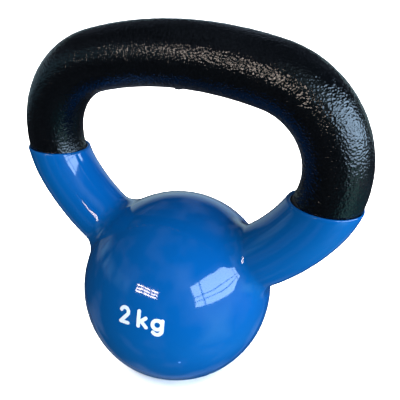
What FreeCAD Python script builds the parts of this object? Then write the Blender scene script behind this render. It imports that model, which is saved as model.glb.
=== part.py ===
import FreeCAD, Part
import math
import os

from FreeCAD import Rotation, Vector

# A small vinyl-dipped kettlebell, in millimetres.
#
# One iron casting makes the ball, the two horns and the grip. Black enamel covers the bare grip. The
# ball and the lower horns are then dipped in vinyl, which sets as one skin and ends at a lip round each
# horn. The weight is printed on the front of the ball.
#
# +Z is up, X runs along the grip and the front of the bell faces -Y. The origin is the middle of the
# flat foot, on the surface that the bell stands on. The handle is a loop of three stretches on each side
# of the middle: the crown along the top, the shoulder at the corner, and the horn that runs down into
# the ball.

# Casting
IRON_BALL_D = 72.0  # bare ball, under the vinyl
IRON_FOOT_D = 38.0  # flat on the underside of the bare ball
FOOT_ROUND = 1.6  # round where that flat meets the ball
IRON_BAR_D = 20.9  # bare grip and horns, which are round in section
ROOT_FILLET = 6.0  # blend where each horn meets the ball

# Handle loop. Angles go from upright, round the centre of each bend.
HAND_GAP_WIDTH = 87.2  # widest clear width inside the loop
HAND_GAP_HEIGHT = 40.6  # clear height from the dipped ball to the grip
CROWN_RADIUS = 130.0  # slight arch of the crown's centreline
SHOULDER_RADIUS = 29.7  # each shoulder's centreline
SHOULDER_END = 121.0  # degrees at which a shoulder runs into its horn
ROOT_ANGLE = 56.6  # degrees at which a horn's centreline meets the ball
ROOT_BURY = 12.0  # length of horn inside the ball

# Marks that the mould leaves on the inside of the loop
SEAM_D = 1.4  # parting seam, a round bead that is mostly sunk in the bar
SEAM_HEIGHT = 0.15  # how far the seam stands out
GATE_LENGTH = 3.6  # stub in the middle of the grip's underside, along X
GATE_WIDTH = 2.4
GATE_HEIGHT = 0.6

# Skins
ENAMEL = 0.25  # black enamel
ENAMEL_TUCK = 6.0  # depth of enamel that the vinyl covers
VINYL = 1.3  # dipped skin on the ball, and its average on the horns
VINYL_RUN = 0.4  # the skin is thicker by this on the inside of the loop, and thinner outside
LIP_ROUND = 0.5  # outer edge of each lip
DIP_RISE = 11.4  # height of the dip line over the dipped ball, in the middle
DIP_TILT = 2.0  # degrees that the dip line falls towards +X

# Printed weight
INK = 0.12  # thickness of the ink
MARK_SIDE = 6.4  # degrees from the front of the ball towards +X
MARK_UP = 15.5  # degrees above the ball's widest line
LETTER_HEIGHT = 6.4  # figure and tall letter
LETTER_WIDTH = 4.0
LOW_LETTER_HEIGHT = 4.4
TAIL_DROP = 1.9  # tail of the low letter, under the line
PEN = 1.25  # width of a stroke
WORD_GAP = 2.6
LETTER_GAP = 0.9
FIGURE_BOWL = (-40, 165)  # degrees that the figure's bowl runs between, anticlockwise
TAIL_START = -145  # degrees at which the low letter's tail begins
ARM_JOINT = 0.4  # where the tall letter's arm leaves its stem, as a share of the low letter's height
LEG_JOINT = (0.4, 0.55)  # where its leg leaves its arm, as shares of its width and of that height

SPACE = 400.0  # side of a block that is larger than the bell
NEAR = 0.01  # distance at which two places count as one

UP = Vector(0, 0, 1)
DEPTH = Vector(0, 1, 0)
ACROSS = Vector(1, 0, 0)
ORIGIN = Vector(0, 0, 0)

# Sizes that follow from the ones above
iron_ball_r = IRON_BALL_D / 2
dipped_ball_r = iron_ball_r + VINYL
iron_bar_r = IRON_BAR_D / 2
enamelled_bar_r = iron_bar_r + ENAMEL
dipped_bar_r = iron_bar_r + VINYL
ball_centre = UP * (VINYL + math.sqrt(iron_ball_r**2 - (IRON_FOOT_D / 2) ** 2))
dipped_top_z = ball_centre.z + dipped_ball_r
crown_z = dipped_top_z + HAND_GAP_HEIGHT + enamelled_bar_r
half_span = HAND_GAP_WIDTH / 2 + enamelled_bar_r


def spoke(angle):
    """Unit vector in the plane of the loop, at an angle in radians from upright towards +X."""
    return Vector(math.sin(angle), 0, math.cos(angle))


def heading(angle):
    """Direction in which the loop runs where its spoke has that angle."""
    return Vector(math.cos(angle), 0, -math.sin(angle))


def loop_stretches():
    """Crown, shoulder and horn towards +X: a start point, its spoke's angle, a radius and a turn."""
    crown_centre = UP * (crown_z - CROWN_RADIUS)
    shoulder_x = half_span - SHOULDER_RADIUS
    crown_turn = math.asin(shoulder_x / (CROWN_RADIUS - SHOULDER_RADIUS))
    shoulder_centre = crown_centre + spoke(crown_turn) * (CROWN_RADIUS - SHOULDER_RADIUS)
    shoulder_turn = math.radians(SHOULDER_END) - crown_turn
    horn_angle = math.radians(SHOULDER_END)
    horn_start = shoulder_centre + spoke(horn_angle) * SHOULDER_RADIUS

    # The horn leaves the shoulder without a kink, on the one arc that goes through its root.
    reach = ball_centre + spoke(math.radians(ROOT_ANGLE)) * iron_ball_r - horn_start
    inward = -reach.dot(spoke(horn_angle))
    horn_radius = reach.dot(reach) / (2 * inward)
    horn_turn = 2 * math.atan2(inward, reach.dot(heading(horn_angle)))

    shoulder_start = shoulder_centre + spoke(crown_turn) * SHOULDER_RADIUS
    crown = (crown_centre + UP * CROWN_RADIUS, 0.0, CROWN_RADIUS, crown_turn)
    shoulder = (shoulder_start, crown_turn, SHOULDER_RADIUS, shoulder_turn)
    horn = (horn_start, horn_angle, horn_radius, horn_turn + ROOT_BURY / horn_radius)
    return [crown, shoulder, horn]


def bar(stretch, radius, inset):
    """Round bar along one stretch, with its centre moved towards the inside of the loop."""
    start, angle, bend_radius, turn = stretch
    bend_centre = start - spoke(angle) * bend_radius
    circle = Part.makeCircle(radius, start - spoke(angle) * inset, heading(angle))
    return Part.Face(Part.Wire(circle)).revolve(bend_centre, DEPTH, math.degrees(turn))


def loop(radius, inset=0.0, stretches=3):
    """Bars of one radius along both sides of the loop, joined from the crown downwards."""
    side = [bar(stretch, radius, inset) for stretch in loop_stretches()[:stretches]]
    other_side = [piece.mirror(ORIGIN, ACROSS) for piece in side]
    return side[0].multiFuse(side[1:] + other_side).removeSplitter()


def above(height):
    """All space above a level plane."""
    return Part.makeBox(SPACE, SPACE, SPACE, Vector(-SPACE / 2, -SPACE / 2, height))


def above_dip_line(drop=0.0):
    """All space above the sloping dip line, or above a plane that lies a little lower."""
    space = above(0)
    space.rotate(ORIGIN, DEPTH, DIP_TILT)
    space.translate(UP * (dipped_top_z + DIP_RISE - drop))
    return space


def ball_with_handle(ball_r, handle, foot_z, root_fillet, foot_round):
    """Ball with a flat foot and a handle, rounded where they meet and round the foot."""
    ball = Part.makeSphere(ball_r, ball_centre)
    ball.rotate(ball_centre, UP, 90)  # the sphere's own seam goes to the back, clear of both horns
    body = ball.common(above(foot_z)).fuse(handle)

    def is_root(edge):
        heights = [v.Point.distanceToPoint(ball_centre) - ball_r for v in edge.Vertexes]
        return all(abs(height) < NEAR for height in heights) and abs(edge.CenterOfMass.x) > NEAR

    body = body.makeFillet(root_fillet, [edge for edge in body.Edges if is_root(edge)])
    rim = [edge for edge in body.Edges if abs(edge.CenterOfMass.z - foot_z) < NEAR]
    return body.makeFillet(foot_round, rim)


def mould_marks(skin):
    """Parting seam and gate stub inside the loop, under a skin of that thickness."""
    seam_inset = iron_bar_r + SEAM_HEIGHT - SEAM_D / 2
    stub = Part.makeSphere(1.0)
    stretch = FreeCAD.Matrix()
    stretch.scale(GATE_LENGTH / 2 + skin, GATE_WIDTH / 2 + skin, GATE_HEIGHT + skin)
    stub = stub.transformGeometry(stretch)
    stub.translate(UP * (crown_z - iron_bar_r))
    return [loop(SEAM_D / 2 + skin, seam_inset, stretches=2), stub]


def make_iron():
    body = ball_with_handle(iron_ball_r, loop(iron_bar_r), VINYL, ROOT_FILLET, FOOT_ROUND)
    return body.multiFuse(mould_marks(0.0))


def make_enamel(iron):
    skin = loop(enamelled_bar_r).multiFuse(mould_marks(ENAMEL))
    return skin.common(above_dip_line(ENAMEL_TUCK)).cut(iron)


def make_vinyl(iron, enamel):
    handle = loop(dipped_bar_r, VINYL_RUN)
    skin = ball_with_handle(dipped_ball_r, handle, 0, ROOT_FILLET - VINYL, FOOT_ROUND + VINYL)
    skin = skin.cut(above_dip_line())
    flats = [face for face in skin.Faces if face.Surface.TypeId == "Part::GeomPlane"]
    lips = [edge for face in flats for edge in face.Edges if face.CenterOfMass.z > NEAR]
    return skin.makeFillet(LIP_ROUND, lips).cut(iron).cut(enamel)


# The print is drawn flat, in strokes of one width with round ends, as posts that the skin of ink is cut
# from. In a letter, x goes to the right from its left edge and y goes up from the line.


def dot(x, y):
    return Part.makeCylinder(PEN / 2, SPACE, Vector(x, y, 0))


def line(x0, y0, x1, y1):
    run = Vector(x1 - x0, y1 - y0, 0)
    post = Part.makeBox(run.Length, PEN, SPACE, Vector(0, -PEN / 2, 0))
    post.rotate(ORIGIN, UP, math.degrees(math.atan2(run.y, run.x)))
    post.translate(Vector(x0, y0, 0))
    return [post, dot(x0, y0), dot(x1, y1)]


def arc(x, y, radius, start, end):
    """Part of a ring, anticlockwise from one angle to another in degrees."""
    ring = Part.makeCylinder(radius + PEN / 2, SPACE, ORIGIN, UP, end - start)
    ring = ring.cut(Part.makeCylinder(radius - PEN / 2, SPACE))
    ring.rotate(ORIGIN, UP, start)
    ring.translate(Vector(x, y, 0))
    ends = [math.radians(start), math.radians(end)]
    return [ring] + [dot(x + radius * math.cos(a), y + radius * math.sin(a)) for a in ends]


def figure_two():
    edge = PEN / 2
    radius = LETTER_WIDTH / 2 - edge
    middle = LETTER_WIDTH / 2
    bowl_y = LETTER_HEIGHT - edge - radius
    neck = math.radians(FIGURE_BOWL[0])
    neck_x = middle + radius * math.cos(neck)
    neck_y = bowl_y + radius * math.sin(neck)
    bowl = arc(middle, bowl_y, radius, *FIGURE_BOWL)
    return bowl + line(neck_x, neck_y, edge, edge) + line(edge, edge, LETTER_WIDTH - edge, edge)


def letter_k():
    edge = PEN / 2
    right = LETTER_WIDTH - edge
    joint_x, joint_y = LETTER_WIDTH * LEG_JOINT[0], LOW_LETTER_HEIGHT * LEG_JOINT[1]
    stem = line(edge, edge, edge, LETTER_HEIGHT - edge)
    arm = line(edge, LOW_LETTER_HEIGHT * ARM_JOINT, right - edge / 2, LOW_LETTER_HEIGHT - edge)
    leg = line(joint_x, joint_y, right, edge)
    return stem + arm + leg


def letter_g():
    edge = PEN / 2
    radius = LOW_LETTER_HEIGHT / 2 - edge
    middle = edge + radius
    right = edge + 2 * radius
    hook_y = edge + radius - TAIL_DROP
    bowl = arc(middle, LOW_LETTER_HEIGHT / 2, radius, 0, 360)
    stem = line(right, LOW_LETTER_HEIGHT - edge, right, hook_y)
    return bowl + stem + arc(middle, hook_y, radius, TAIL_START, 0)


def make_mark():
    """The weight, as a skin of ink on the dipped ball."""
    letters = [figure_two(), letter_k(), letter_g()]
    starts = [0, LETTER_WIDTH + WORD_GAP, 2 * LETTER_WIDTH + WORD_GAP + LETTER_GAP]
    width = starts[-1] + LOW_LETTER_HEIGHT
    facing = Rotation(UP, MARK_SIDE).multiply(Rotation(ACROSS, 90 - MARK_UP))
    under = Part.makeSphere(dipped_ball_r, ball_centre)
    skin = Part.makeSphere(dipped_ball_r + INK, ball_centre).cut(under)
    inks = []
    for posts, start in zip(letters, starts):
        letter = posts[0].multiFuse(posts[1:]).removeSplitter()
        letter.translate(Vector(start - width / 2, -LETTER_HEIGHT / 2, 0))
        letter.Placement = FreeCAD.Placement(ball_centre, facing).multiply(letter.Placement)
        inks.append(letter.common(skin))
    return Part.makeCompound(inks)


def save(shape, node):
    """Writes a node's solids to its file."""
    Part.makeCompound(shape.Solids).exportStep(f"parts/{node}.step")
    print(node, len(shape.Solids), "solids", round(shape.Volume), "mm3", shape.isValid())


os.makedirs("parts", exist_ok=True)
iron = make_iron()
enamel = make_enamel(iron)
save(iron, "cast_iron_body")
save(enamel, "handle_enamel")
save(make_vinyl(iron, enamel), "vinyl_jacket")
save(make_mark(), "weight_mark")
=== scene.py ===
import math

import bmesh
import bpy
import numpy as np
from mathutils import Matrix, Vector, noise


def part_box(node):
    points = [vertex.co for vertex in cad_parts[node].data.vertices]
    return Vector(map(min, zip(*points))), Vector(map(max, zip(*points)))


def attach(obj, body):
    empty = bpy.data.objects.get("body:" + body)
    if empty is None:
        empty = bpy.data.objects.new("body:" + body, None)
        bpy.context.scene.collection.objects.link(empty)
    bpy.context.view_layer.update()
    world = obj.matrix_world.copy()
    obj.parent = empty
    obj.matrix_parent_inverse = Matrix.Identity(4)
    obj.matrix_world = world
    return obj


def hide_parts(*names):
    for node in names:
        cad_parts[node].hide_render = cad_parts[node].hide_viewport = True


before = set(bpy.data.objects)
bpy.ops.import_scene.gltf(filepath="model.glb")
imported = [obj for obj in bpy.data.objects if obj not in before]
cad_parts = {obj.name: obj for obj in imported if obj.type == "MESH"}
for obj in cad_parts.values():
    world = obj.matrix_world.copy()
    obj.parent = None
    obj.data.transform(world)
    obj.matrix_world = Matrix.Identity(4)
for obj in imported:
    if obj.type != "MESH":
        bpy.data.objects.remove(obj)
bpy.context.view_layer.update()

# ---------------------------------------------------------------------------------------------------------
# Camera. It stands a hand's width in front of the bell, a little to its right, and looks down on it with a
# short portrait lens, so the near shoulder of the handle comes out larger than the far one.

MM = 0.001
LENS = 38.2  # mm, on a 36 mm sensor
CAMERA_PLACE = Vector((63.6, -128.2, 136.4)) * MM
CAMERA_TURN = 23.16  # degrees that it is turned to the left
CAMERA_DOWN = 25.25  # degrees that it looks down
CAMERA_ROLL = 1.38  # degrees

camera = bpy.data.objects.new("camera", bpy.data.cameras.new("camera"))
camera.data.lens = LENS
camera.data.clip_start = 10 * MM
turn = Matrix.Rotation(math.radians(CAMERA_TURN), 4, "Z")
tilt = Matrix.Rotation(math.radians(90 - CAMERA_DOWN), 4, "X")
roll = Matrix.Rotation(math.radians(CAMERA_ROLL), 4, "Z")
camera.matrix_world = Matrix.Translation(CAMERA_PLACE) @ turn @ tilt @ roll
bpy.context.scene.collection.objects.link(camera)
bpy.context.scene.camera = camera
bpy.context.scene.view_settings.view_transform = "Standard"

# ---------------------------------------------------------------------------------------------------------
# Studio. White paper that rises all round into a cove, which only the camera sees, and a room of glowing
# panels that the bell mirrors: a window with bars at its right, a lamp with slats in front, a bright wall,
# sill and floor by the window, and dim shelves at its left. They are set up round the bell, not fixed to it.

COVE_START = 1.6  # radius in metres at which the paper begins to rise
COVE_BEND = 0.9
COVE_TOP = 2.6
COVE_STEPS = 12
COVE_SIDES = 96
PAPER = (0.95, 0.91, 0.86)


def new_object(name, points, faces):
    """A smooth mesh object from its corners and faces."""
    mesh = bpy.data.meshes.new(name)
    mesh.from_pydata([tuple(p) for p in points], [], [tuple(f) for f in faces])
    mesh.polygons.foreach_set("use_smooth", [True] * len(mesh.polygons))
    mesh.update()
    thing = bpy.data.objects.new(name, mesh)
    bpy.context.scene.collection.objects.link(thing)
    return thing


def new_material(name):
    """A material, its shader, and short ways to add a node and to join two sockets."""
    material = bpy.data.materials.new(name)
    material.use_nodes = True
    tree = material.node_tree

    def add(kind, **settings):
        node = tree.nodes.new(kind)
        for key, value in settings.items():
            key = key.replace("_", " ")
            if key in node.inputs:
                node.inputs[key].default_value = value
            else:
                setattr(node, key.replace(" ", "_"), value)
        return node

    return material, tree.nodes["Principled BSDF"], add, tree.links.new


corners = [(0.0, 0.0, 0.0)]
bands = []
for step in range(COVE_STEPS + 1):
    rise = math.radians(90 * step / COVE_STEPS)
    bands.append((COVE_START + COVE_BEND * math.sin(rise), COVE_BEND * (1 - math.cos(rise))))
bands.append((COVE_START + COVE_BEND, COVE_TOP))
for out, up in bands:
    for side in range(COVE_SIDES):
        angle = 2 * math.pi * side / COVE_SIDES
        corners.append((out * math.cos(angle), out * math.sin(angle), up))
faces = []
for side in range(COVE_SIDES):
    after = (side + 1) % COVE_SIDES
    faces.append((0, 1 + side, 1 + after))
    for band in range(len(bands) - 1):
        a, b = 1 + band * COVE_SIDES + side, 1 + band * COVE_SIDES + after
        faces.append((a, a + COVE_SIDES, b + COVE_SIDES, b))
cove = new_object("paper_cove", corners, faces)
cove.visible_glossy = False
cove.visible_diffuse = False
cove.visible_shadow = False
paper, shader, add, join = new_material("pale_paper")
shader.inputs["Base Color"].default_value = (*PAPER, 1)
shader.inputs["Roughness"].default_value = 0.9
shader.inputs["Specular IOR Level"].default_value = 0.1
cove.data.materials.append(paper)

LOOK_AT = Vector((0, 0, 55 * MM))


def direction(side, up):
    """Unit vector at angles in degrees from the front towards +X, and above the floor."""
    side, up = math.radians(side), math.radians(up)
    return Vector((math.sin(side) * math.cos(up), -math.cos(side) * math.cos(up), math.sin(up)))


def panel(name, place, distance, across, tall, glow, colour):
    """Panel that glows evenly and spans angles in degrees round a direction from the bell."""
    middle = LOOK_AT + direction(*place) * distance
    facing = (LOOK_AT - middle).to_track_quat("-Z", "Y")
    left, right, low, high = [distance * math.tan(math.radians(angle)) for angle in (*across, *tall)]
    light = bpy.data.lights.new(name, "AREA")
    light.shape = "RECTANGLE"
    light.size = right - left
    light.size_y = high - low
    light.energy = glow * math.pi * light.size * light.size_y
    light.color = colour
    lamp = bpy.data.objects.new(name, light)
    lamp.location = middle + facing @ Vector(((left + right) / 2, (low + high) / 2, 0))
    lamp.rotation_euler = facing.to_euler()
    lamp.visible_camera = False
    bpy.context.scene.collection.objects.link(lamp)


WALLS = 1.2  # distance in metres from the bell to the window and the walls
WINDOW = (77, 18)  # directions are in degrees towards +X and above the floor
WINDOW_ROWS = [(-13, -6), (-5, 0), (1, 16)]
WINDOW_COLUMNS = [(-32, -21.5), (-20, 32)]
WINDOW_GLOW = 12.5
DAYLIGHT = (0.52, 0.74, 1.0)
for row, tall in enumerate(WINDOW_ROWS):
    for column, across in enumerate(WINDOW_COLUMNS):
        panel(f"window_{row}_{column}", WINDOW, WALLS, across, tall, WINDOW_GLOW, DAYLIGHT)

LAMP = (-11, 18)
LAMP_DISTANCE = 0.9
SLAT_ROWS = [-3.6, -0.6, 2.4]
SLAT_COLUMNS = [(-13, -5), (-4, 4), (5, 13)]
SLAT_TALL = 1.1
LAMP_GLOW = 48.0
LAMPLIGHT = (1.0, 0.86, 0.76)
for row, low in enumerate(SLAT_ROWS):
    for column, across in enumerate(SLAT_COLUMNS):
        slat = (low, low + SLAT_TALL)
        panel(f"lamp_{row}_{column}", LAMP, LAMP_DISTANCE, across, slat, LAMP_GLOW, LAMPLIGHT)

SOFT_STEPS = 6
SOFT_GAP = 10 * MM  # from each panel of a soft one to the next


def soft_panel(name, place, across, tall, glow, colour):
    """Panels of shrinking size in front of each other, so that the light fades towards the edges."""
    for step in range(SOFT_STEPS):
        share = 1.5 - 0.2 * step
        spans = [(-half * share, half * share) for half in (across, tall)]
        panel(f"{name}_{step}", place, WALLS - SOFT_GAP * step, *spans, glow / SOFT_STEPS, colour)


soft_panel("behind", (-160, 5), 45, 12, 0.9, (0.65, 0.92, 1.0))
soft_panel("bright_wall", (72, 10), 30, 20, 0.9, (0.66, 0.86, 1.0))
soft_panel("sill", (69, -22), 12, 14, 1.1, (0.42, 0.95, 0.88))
soft_panel("floor", (82, -46), 34, 18, 0.4, (0.12, 0.74, 0.95))
soft_panel("ceiling", (33, 40), 9, 11, 0.7, (0.6, 0.85, 1.0))
for side, across in [(-93, 4), (-78, 3), (-66, 5), (-50, 6), (-37, 4)]:
    soft_panel(f"shelf_{-side}", (side, 18 + side / 8), across, 6, 0.6, (0.32, 0.78, 1.0))

BOUNCE = (20, -80)  # the light that a pale floor throws up under the ball
BOUNCE_GLOW = 1.4
BOUNCE_SPREAD = math.radians(60)
bounce = bpy.data.lights.new("bounce", "SUN")
bounce.energy = BOUNCE_GLOW
bounce.color = (1.0, 1.0, 0.76)
bounce.angle = BOUNCE_SPREAD
lamp = bpy.data.objects.new("bounce", bounce)
lamp.rotation_euler = direction(*BOUNCE).to_track_quat("Z", "Y").to_euler()
lamp.visible_glossy = False
bpy.context.scene.collection.objects.link(lamp)

WASH_WATTS = 520.0  # lights the paper alone, as high as the paper goes
wash = bpy.data.lights.new("paper_wash", "AREA")
wash.shape = "DISK"
wash.size = 4.0
wash.energy = WASH_WATTS
lamp = bpy.data.objects.new("paper_wash", wash)
lamp.location = (0, 0, COVE_TOP)
bpy.context.scene.collection.objects.link(lamp)
only_paper = bpy.data.collections.new("only_paper")
only_paper.objects.link(cove)
lamp.light_linking.receiver_collection = only_paper

ROOM = (0.60, 0.74, 1.0)
ROOM_GLOW = 0.30
MIRRORED = {"From Min": 0.50, "From Max": 0.64, "To Min": 0.03, "To Max": 0.30}  # dim walls, light patches
world = bpy.data.worlds.new("room")
bpy.context.scene.world = world
world.use_nodes = True
nodes, join = world.node_tree.nodes, world.node_tree.links.new
nodes["Background"].inputs["Color"].default_value = (*ROOM, 1)
around = nodes.new("ShaderNodeTexCoord")
patches = nodes.new("ShaderNodeTexNoise")
patches.inputs["Scale"].default_value = 2.2
patches.inputs["Detail"].default_value = 3.0
join(around.outputs["Generated"], patches.inputs["Vector"])
mirrored = nodes.new("ShaderNodeMapRange")
for name, value in MIRRORED.items():
    mirrored.inputs[name].default_value = value
join(patches.outputs["Fac"], mirrored.inputs["Value"])
rays = nodes.new("ShaderNodeLightPath")
glow = nodes.new("ShaderNodeMix")
glow.inputs["A"].default_value = ROOM_GLOW
join(rays.outputs["Is Glossy Ray"], glow.inputs["Factor"])
join(mirrored.outputs["Result"], glow.inputs["B"])
join(glow.outputs["Result"], nodes["Background"].inputs["Strength"])

# ---------------------------------------------------------------------------------------------------------
# The casting. Ball, horns and grip are grey iron, poured in one piece and left as cast. The skins hide all
# of it, and it keeps the shape that the frame gives.

iron, shader, add, join = new_material("cast_iron")
shader.inputs["Metallic"].default_value = 1.0
grain = add("ShaderNodeTexNoise", Scale=900.0, Detail=6.0)
place = add("ShaderNodeTexCoord")
join(place.outputs["Object"], grain.inputs["Vector"])
tone = add("ShaderNodeValToRGB")
tone.color_ramp.elements[0].color = (0.03, 0.03, 0.032, 1)
tone.color_ramp.elements[1].color = (0.13, 0.125, 0.12, 1)
join(grain.outputs["Fac"], tone.inputs["Fac"])
join(tone.outputs["Color"], shader.inputs["Base Color"])
rough = add("ShaderNodeMapRange", To_Min=0.5, To_Max=0.8)
join(grain.outputs["Fac"], rough.inputs["Value"])
join(rough.outputs["Result"], shader.inputs["Roughness"])
bump = add("ShaderNodeBump", Strength=0.5, Distance=0.2 * MM)
join(grain.outputs["Fac"], bump.inputs["Height"])
join(bump.outputs["Normal"], shader.inputs["Normal"])
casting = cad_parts["cast_iron_body"]
casting.data.materials.clear()
casting.data.materials.append(iron)

# ---------------------------------------------------------------------------------------------------------
# The grip's enamel. Black stove enamel with a hammered finish, sprayed on the bare handle and baked. It is
# a film a quarter of a millimetre thick, with dimples about a millimetre across, and the casting's seam and
# gate stub show through it. It goes on a little way under the vinyl.

CROWN_RADIUS = 130.0 * MM  # centrelines of the loop, as the casting has them
SHOULDER_RADIUS = 29.7 * MM
SHOULDER_END = math.radians(121.0)
ROOT_ANGLE = math.radians(56.6)
IRON_FOOT_D = 38.0 * MM

iron_low, iron_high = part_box("cast_iron_body")
enamel_low, enamel_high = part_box("handle_enamel")
vinyl_low, vinyl_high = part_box("vinyl_jacket")
grip_r = enamel_high.y
half_span = enamel_high.x - grip_r
crown_z = enamel_high.z - grip_r
bar_r = iron_high.x - half_span
iron_ball_r = iron_high.y
ball_r = vinyl_high.y
ball_z = iron_low.z + math.sqrt(iron_ball_r**2 - (IRON_FOOT_D / 2) ** 2)


def loop_arcs():
    """Crown, shoulder and horn on the +X side, each as (centre x, centre z, radius, first and last angle)."""
    crown_cz = crown_z - CROWN_RADIUS
    shoulder_x = half_span - SHOULDER_RADIUS
    crown_end = math.asin(shoulder_x / (CROWN_RADIUS - SHOULDER_RADIUS))
    shoulder_z = crown_cz + (CROWN_RADIUS - SHOULDER_RADIUS) * math.cos(crown_end)
    start_x = shoulder_x + SHOULDER_RADIUS * math.sin(SHOULDER_END)
    start_z = shoulder_z + SHOULDER_RADIUS * math.cos(SHOULDER_END)
    reach_x = iron_ball_r * math.sin(ROOT_ANGLE) - start_x
    reach_z = ball_z + iron_ball_r * math.cos(ROOT_ANGLE) - start_z
    inward = -(reach_x * math.sin(SHOULDER_END) + reach_z * math.cos(SHOULDER_END))
    horn_r = (reach_x**2 + reach_z**2) / (2 * inward)
    horn_x = start_x - horn_r * math.sin(SHOULDER_END)
    horn_z = start_z - horn_r * math.cos(SHOULDER_END)
    return [
        (0.0, crown_cz, CROWN_RADIUS, 0.0, crown_end),
        (shoulder_x, shoulder_z, SHOULDER_RADIUS, crown_end, SHOULDER_END),
        (horn_x, horn_z, horn_r, SHOULDER_END, math.pi),
    ]


ARCS = loop_arcs()
LOOP_LENGTH = sum((last - first) * radius for _, _, radius, first, last in ARCS)  # from the top to a root


def along_loop(distance):
    """Point and angle of the spoke on the loop's centreline, at a distance from the top towards +X."""
    side = 1 if distance >= 0 else -1
    left = abs(distance)
    for x, z, radius, first, last in ARCS:
        angle = first + left / radius
        if angle <= last:
            break
        left -= (last - first) * radius
    return np.array((side * (x + radius * math.sin(angle)), 0, z + radius * math.cos(angle))), side * angle


AROUND = 192
RING_STEP = 0.38 * MM
DIMPLE_SIZE = 1.25 * MM
DIMPLE_DEPTH = 0.12 * MM
DIMPLE_REACH = 0.75  # of the spacing, from a dimple's middle to the ridge round it
DIMPLE_SHARE = 0.7  # of the depth, and the rest is a finer unevenness
UNEVENNESS = 0.45  # size of that, over the size of a dimple
SEAM_HEIGHT = 0.10 * MM
SEAM_HALF = 0.7 * MM
GATE = np.array((1.8, 1.2, 0.6)) * MM  # half length, half width and height
noise.seed_set(7)  # the dimples stray in the same way each time


def crossing(test):
    """Distance along the loop at which a test of the centreline's point and angle stops being true."""
    near, far = 0.0, LOOP_LENGTH
    while far - near > 0.001 * MM:
        middle = (near + far) / 2
        near, far = (middle, far) if test(*along_loop(middle)) else (near, middle)
    return near


def hammered(point):
    """Depth of the hammered finish at a point, from 0 on the ridges to about 1 in the dimples."""
    spread = noise.noise_vector(point / (3 * DIMPLE_SIZE)) * 0.5
    near = noise.voronoi(point / DIMPLE_SIZE + spread, distance_metric="DISTANCE")[0]
    dimple = max(0.0, 1 - (near[0] / DIMPLE_REACH) ** 2)
    uneven = 0.5 + 0.5 * noise.noise(point / (UNEVENNESS * DIMPLE_SIZE))
    return DIMPLE_SHARE * dimple + (1 - DIMPLE_SHARE) * uneven


def enamel_height(point, distance, turn):
    """The hammered dimples, and the casting's seam and gate stub on the inside of the loop."""
    across = grip_r * abs(turn - math.pi)
    seam = SEAM_HEIGHT * math.exp(-((across / SEAM_HALF) ** 2))
    stub = 1 - (distance / GATE[0]) ** 2 - (across / GATE[1]) ** 2
    stub = GATE[2] * math.sqrt(max(0.0, stub))
    return max(seam, stub) - DIMPLE_DEPTH * hammered(point)


def tube_rings(radius, around, step, end, height=None):
    """Corners of a tube along the loop, ring by ring, with a height added at each corner."""
    rings = max(2, round(2 * end / step))
    corners = []
    for ring in range(rings + 1):
        distance = -end + 2 * end * ring / rings
        centre, angle = along_loop(distance)
        out = np.array((math.sin(angle), 0, math.cos(angle)))
        for part in range(around):
            turn = 2 * math.pi * part / around
            way = out * math.cos(turn) + np.array((0, math.sin(turn), 0))
            rise = height(Vector(centre + way * radius), distance, turn) if height else 0.0
            corners.append(centre + way * (radius + rise))
    return corners, rings


def tube_faces(around, rings, start=0, flip=False):
    """Quads between the rings of a tube whose first corner has that number."""
    faces = []
    for ring in range(rings):
        for part in range(around):
            a = start + ring * around + part
            b = start + ring * around + (part + 1) % around
            face = (a, b, b + around, a + around)
            faces.append(face[::-1] if flip else face)
    return faces


COARSE = 4  # the hidden inside has one corner to this many outside
end = crossing(lambda point, angle: point[2] - grip_r * abs(math.cos(angle)) > enamel_low.z)
outer, outer_rings = tube_rings(grip_r, AROUND, RING_STEP, end, enamel_height)
inner, inner_rings = tube_rings(bar_r, AROUND // COARSE, RING_STEP * COARSE, end)
start = len(outer)
faces = tube_faces(AROUND, outer_rings) + tube_faces(AROUND // COARSE, inner_rings, start, flip=True)
for outer_ring, inner_ring, flip in ((0, 0, True), (outer_rings, inner_rings, False)):
    for part in range(AROUND // COARSE):
        fine = [outer_ring * AROUND + (part * COARSE + i) % AROUND for i in range(COARSE + 1)]
        here = start + inner_ring * (AROUND // COARSE)
        face = fine + [here + (part + 1) % (AROUND // COARSE), here + part]
        faces.append(face[::-1] if flip else face)
enamel = new_object("grip_enamel", outer + inner, faces)

black, shader, add, join = new_material("black_enamel")
shader.inputs["Specular IOR Level"].default_value = 0.4
place = add("ShaderNodeTexCoord")
broad = add("ShaderNodeTexNoise", Scale=120.0, Detail=2.0)
fine = add("ShaderNodeTexVoronoi", feature="SMOOTH_F1", Scale=1450.0, Smoothness=0.4)
grit = add("ShaderNodeTexNoise", Scale=2900.0, Detail=2.0)
for texture in (broad, fine, grit):
    join(place.outputs["Object"], texture.inputs["Vector"])
tone = add("ShaderNodeValToRGB")
tone.color_ramp.elements[0].color = (0.0010, 0.0012, 0.0015, 1)
tone.color_ramp.elements[1].color = (0.0022, 0.0025, 0.0030, 1)
join(broad.outputs["Fac"], tone.inputs["Fac"])
join(tone.outputs["Color"], shader.inputs["Base Color"])
rough = add("ShaderNodeMapRange", To_Min=0.06, To_Max=0.16)
join(broad.outputs["Fac"], rough.inputs["Value"])
join(rough.outputs["Result"], shader.inputs["Roughness"])
bump = add("ShaderNodeBump", Strength=1.0, Distance=0.14 * MM)
join(fine.outputs["Distance"], bump.inputs["Height"])
pores = add("ShaderNodeBump", Strength=0.8, Distance=0.05 * MM)
join(grit.outputs["Fac"], pores.inputs["Height"])
join(bump.outputs["Normal"], pores.inputs["Normal"])
join(pores.outputs["Normal"], shader.inputs["Normal"])
enamel.data.materials.append(black)
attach(enamel, "root")
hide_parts("handle_enamel")

# ---------------------------------------------------------------------------------------------------------
# The vinyl. The bell is held by its grip and dipped in hot plastisol, ball first, which sets as one glossy
# skin over the ball and the horns. It ends at a rounded lip on each horn, a little lower at the right.

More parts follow.
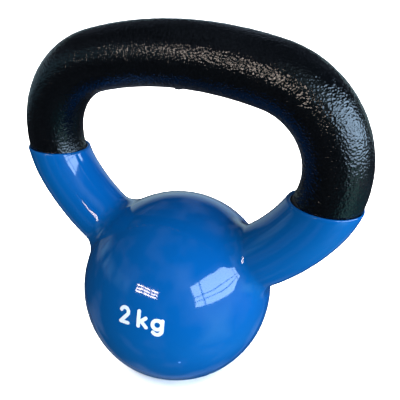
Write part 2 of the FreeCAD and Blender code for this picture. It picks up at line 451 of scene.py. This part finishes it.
WALL = ball_r - iron_ball_r
RUN = 0.4 * MM  # the skin is thicker by this on the inside of the loop
DIP_RISE = 11.4 * MM
DIP_TILT = math.radians(2.0)
ROOT_FILLET = 4.7 * MM
FOOT_ROUND = 2.9 * MM
LIP_ROUND = 0.5 * MM
SAG = 0.05 * MM  # how far the surface of the skin wanders
SAG_SIZE = 11.0 * MM

dip_centre = np.array((0, 0, ball_z + ball_r + DIP_RISE))
dip_up = np.array((math.sin(DIP_TILT), 0, math.cos(DIP_TILT)))
ball_middle = np.array((0, 0, ball_z))


def above_dip(points, drop=0.0):
    """Height over the sloping dip line, or over a plane that lies a little lower."""
    return (points - dip_centre) @ dip_up + drop


def to_bar(points, radius, inset=0.0):
    """Distance from a bar of that radius along the loop, its centre moved towards the inside."""
    x, y, z = np.abs(points[:, 0]), points[:, 1], points[:, 2]
    nearest = np.full(len(points), np.inf)
    for cx, cz, bend, first, last in ARCS:
        angle = np.clip(np.arctan2(x - cx, z - cz), first, last)
        bend = bend - inset
        gap = np.hypot(x - cx - bend * np.sin(angle), z - cz - bend * np.cos(angle))
        nearest = np.minimum(nearest, gap)
    return np.hypot(nearest, y) - radius


def round_join(a, b, radius):
    """Either of two shapes, with a fillet of that radius where they meet."""
    corner = np.hypot(np.maximum(radius - a, 0), np.maximum(radius - b, 0))
    return np.maximum(radius, np.minimum(a, b)) - corner


def round_cut(a, b, radius):
    """What two shapes share, with a rounded edge of that radius."""
    corner = np.hypot(np.maximum(radius + a, 0), np.maximum(radius + b, 0))
    return np.minimum(-radius, np.maximum(a, b)) + corner


def skin(points, ball, bar, fillet, foot_z, foot_round, inset=0.0):
    """Distance from the surface of ball and horns, with rounded roots and a flat foot."""
    body = round_join(np.linalg.norm(points - ball_middle, axis=1) - ball, to_bar(points, bar, inset), fillet)
    return round_cut(body, foot_z - points[:, 2], foot_round)


def vinyl_outside(points):
    wander = np.array([noise.noise(Vector(p) / SAG_SIZE) for p in points])
    return skin(points, ball_r, bar_r + WALL, ROOT_FILLET, 0.0, FOOT_ROUND, RUN) + SAG * (0.5 + 0.5 * wander)


def vinyl_inside(points):
    return skin(points, iron_ball_r, grip_r, ROOT_FILLET + WALL, WALL, FOOT_ROUND - WALL)


def slope(field, points):
    """The field's gradient, by small steps along the three axes."""
    step = 0.02 * MM
    sides = [field(points + step * axis) - field(points - step * axis) for axis in np.eye(3)]
    return np.stack(sides, axis=1) / (2 * step)


def settle(field, points, rounds=4, keep=None):
    """Points moved straight onto the surface of a field. Those in keep stay in the plane of the dip line."""
    for _ in range(rounds):
        way = slope(field, points)
        if keep is not None:
            way[keep] -= (way[keep] @ dip_up)[:, None] * dip_up
        points = points - field(points)[:, None] * way / (way**2).sum(axis=1)[:, None]
    return points


CELLS = 6  # quads along each edge of the cube that the ball's cage starts from
SLEEVE_RINGS = 4
SMOOTHING = 3
LIP_STEPS = 7


def sleeve(cage, side):
    """Opens the ball where a horn meets it, and runs eight-sided rings up that horn to the lip."""
    root = ball_middle + np.array((side * math.sin(ROOT_ANGLE), 0, math.cos(ROOT_ANGLE))) * ball_r
    hub = min(cage.verts, key=lambda corner: (corner.co - Vector(root)).length)
    rim = {corner for face in hub.link_faces for corner in face.verts} - {hub}
    out = np.array((side * math.sin(SHOULDER_END), 0, math.cos(SHOULDER_END)))

    def turn_of(corner):
        return math.atan2(corner.co.y, (np.array(corner.co) - hub.co) @ out) % (2 * math.pi)

    old = sorted(rim, key=turn_of)
    bmesh.ops.delete(cage, geom=[hub], context="VERTS")
    mirror = np.array((side, 1, 1))
    lip = crossing(lambda point, _: above_dip((point * mirror)[None], LIP_ROUND)[0] > 0)
    base = crossing(lambda point, _: np.linalg.norm(point - ball_middle) > ball_r + ROOT_FILLET)
    for ring in range(SLEEVE_RINGS + 1):
        share = ring / SLEEVE_RINGS
        centre, angle = along_loop(side * (base + (lip - base) * share))
        spoke = np.array((math.sin(angle), 0, math.cos(angle)))
        heading = np.array((math.cos(angle), 0, -math.sin(angle)))
        new = []
        for part in range(len(old)):
            turn = 2 * math.pi * part / len(old)
            place = centre + (spoke * math.cos(turn) + np.array((0, math.sin(turn), 0))) * (bar_r + WALL)
            slide = -above_dip(place[None], LIP_ROUND)[0] / (heading @ dip_up)
            if ring == SLEEVE_RINGS:
                place = place + heading * slide
            new.append(cage.verts.new(place))
        for part in range(len(old)):
            after = (part + 1) % len(old)
            cage.faces.new((old[part], old[after], new[after], new[part]))
        old = new


def dipping_cage():
    """Coarse cage of quads: a ball made from a cube, with a sleeve on each horn."""
    cage = bmesh.new()
    bmesh.ops.create_cube(cage, size=2)
    bmesh.ops.subdivide_edges(cage, edges=cage.edges[:], cuts=CELLS - 1, use_grid_fill=True)
    for corner in cage.verts:
        spread = Vector([math.tan(c * math.pi / 4) for c in corner.co])
        corner.co = Vector(ball_middle) + spread.normalized() * ball_r
    for side in (-1, 1):
        sleeve(cage, side)
    bmesh.ops.recalc_face_normals(cage, faces=cage.faces[:])
    return cage


def smoothed(cage, levels):
    """Corners, faces and rims of the cage after smoothing, each rim as a list of corners in order."""
    mesh = bpy.data.meshes.new("cage")
    cage.to_mesh(mesh)
    carrier = bpy.data.objects.new("cage", mesh)
    bpy.context.scene.collection.objects.link(carrier)
    carrier.modifiers.new("smooth", "SUBSURF").levels = levels
    fine = bmesh.new()
    fine.from_object(carrier, bpy.context.evaluated_depsgraph_get())
    bpy.data.objects.remove(carrier)
    fine.verts.index_update()
    corners = np.array([corner.co for corner in fine.verts])
    faces = [tuple(corner.index for corner in face.verts) for face in fine.faces]
    follows = {}
    for edge in fine.edges:
        if edge.is_boundary:
            loop = edge.link_loops[0]
            follows[loop.vert.index] = loop.link_loop_next.vert.index
    rims = []
    while follows:
        rim = [next(iter(follows))]
        while rim[-1] in follows:
            rim.append(follows.pop(rim[-1]))
        rims.append(rim[:-1])
    return corners, faces, rims


corners, faces, rims = smoothed(dipping_cage(), SMOOTHING)
rim_corners = [corner for rim in rims for corner in rim]
outside = settle(vinyl_outside, corners, keep=rim_corners)
inside = settle(vinyl_inside, outside, keep=rim_corners)
count = len(outside)
points = [*outside, *inside]
faces = faces + [tuple(corner + count for corner in reversed(face)) for face in faces]
for rim in rims:
    old = rim
    for step in range(1, LIP_STEPS + 1):
        turn = math.pi * step / LIP_STEPS
        if step < LIP_STEPS:
            new = list(range(len(points), len(points) + len(rim)))
            for corner in rim:
                middle, half = (outside[corner] + inside[corner]) / 2, (outside[corner] - inside[corner]) / 2
                points.append(middle + half * math.cos(turn) + dip_up * LIP_ROUND * math.sin(turn))
        else:
            new = [corner + count for corner in rim]
        for part in range(len(rim)):
            after = (part + 1) % len(rim)
            faces.append((old[after], old[part], new[part], new[after]))
        old = new
jacket = new_object("vinyl_skin", points, faces)

SPECK = (27, -10)  # a pale dot in the vinyl, from the front towards +X and above the ball's widest line
SPECK_SIZE = 0.6 * MM
blue, shader, add, join = new_material("blue_vinyl")
shader.inputs["Specular IOR Level"].default_value = 0.5
place = add("ShaderNodeTexCoord")
broad = add("ShaderNodeTexNoise", Scale=45.0, Detail=2.0)
wave = add("ShaderNodeTexNoise", Scale=140.0, Detail=1.0)
fine = add("ShaderNodeTexNoise", Scale=420.0, Detail=3.0)
for texture in (broad, wave, fine):
    join(place.outputs["Object"], texture.inputs["Vector"])
tone = add("ShaderNodeValToRGB")
tone.color_ramp.elements[0].color = (0.001, 0.086, 0.280, 1)
tone.color_ramp.elements[1].color = (0.001, 0.098, 0.318, 1)
join(broad.outputs["Fac"], tone.inputs["Fac"])
speck = add("ShaderNodeVectorMath", operation="DISTANCE")
speck.inputs[1].default_value = Vector(ball_middle) + direction(*SPECK) * ball_r
join(place.outputs["Object"], speck.inputs[0])
spot = add("ShaderNodeMapRange", From_Min=SPECK_SIZE / 3, From_Max=SPECK_SIZE, To_Min=1.0, To_Max=0.0)
join(speck.outputs["Value"], spot.inputs["Value"])
tint = add("ShaderNodeMix", data_type="RGBA")
tint.inputs["B"].default_value = (0.10, 0.30, 0.70, 1)
join(spot.outputs["Result"], tint.inputs["Factor"])
join(tone.outputs["Color"], tint.inputs["A"])
join(tint.outputs["Result"], shader.inputs["Base Color"])
rough = add("ShaderNodeMapRange", To_Min=0.03, To_Max=0.09)
join(broad.outputs["Fac"], rough.inputs["Value"])
join(rough.outputs["Result"], shader.inputs["Roughness"])
flow = add("ShaderNodeBump", Strength=1.0, Distance=0.08 * MM)
join(wave.outputs["Fac"], flow.inputs["Height"])
bump = add("ShaderNodeBump", Strength=0.5, Distance=0.01 * MM)
join(fine.outputs["Fac"], bump.inputs["Height"])
join(flow.outputs["Normal"], bump.inputs["Normal"])
join(bump.outputs["Normal"], shader.inputs["Normal"])
jacket.data.materials.append(blue)
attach(jacket, "root")
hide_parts("vinyl_jacket")

# ---------------------------------------------------------------------------------------------------------
# The weight. White ink, pad-printed on the front of the ball after the dip. It keeps the shape that the
# frame gives, which is the solid film of ink.

white, shader, add, join = new_material("white_ink")
place = add("ShaderNodeTexCoord")
wear = add("ShaderNodeTexNoise", Scale=700.0, Detail=4.0)
join(place.outputs["Object"], wear.inputs["Vector"])
tone = add("ShaderNodeValToRGB")
tone.color_ramp.elements[0].color = (0.86, 0.87, 0.87, 1)
tone.color_ramp.elements[1].color = (0.95, 0.95, 0.94, 1)
join(wear.outputs["Fac"], tone.inputs["Fac"])
join(tone.outputs["Color"], shader.inputs["Base Color"])
rough = add("ShaderNodeMapRange", To_Min=0.28, To_Max=0.5)
join(wear.outputs["Fac"], rough.inputs["Value"])
join(rough.outputs["Result"], shader.inputs["Roughness"])
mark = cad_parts["weight_mark"]
mark.data.materials.clear()
mark.data.materials.append(white)
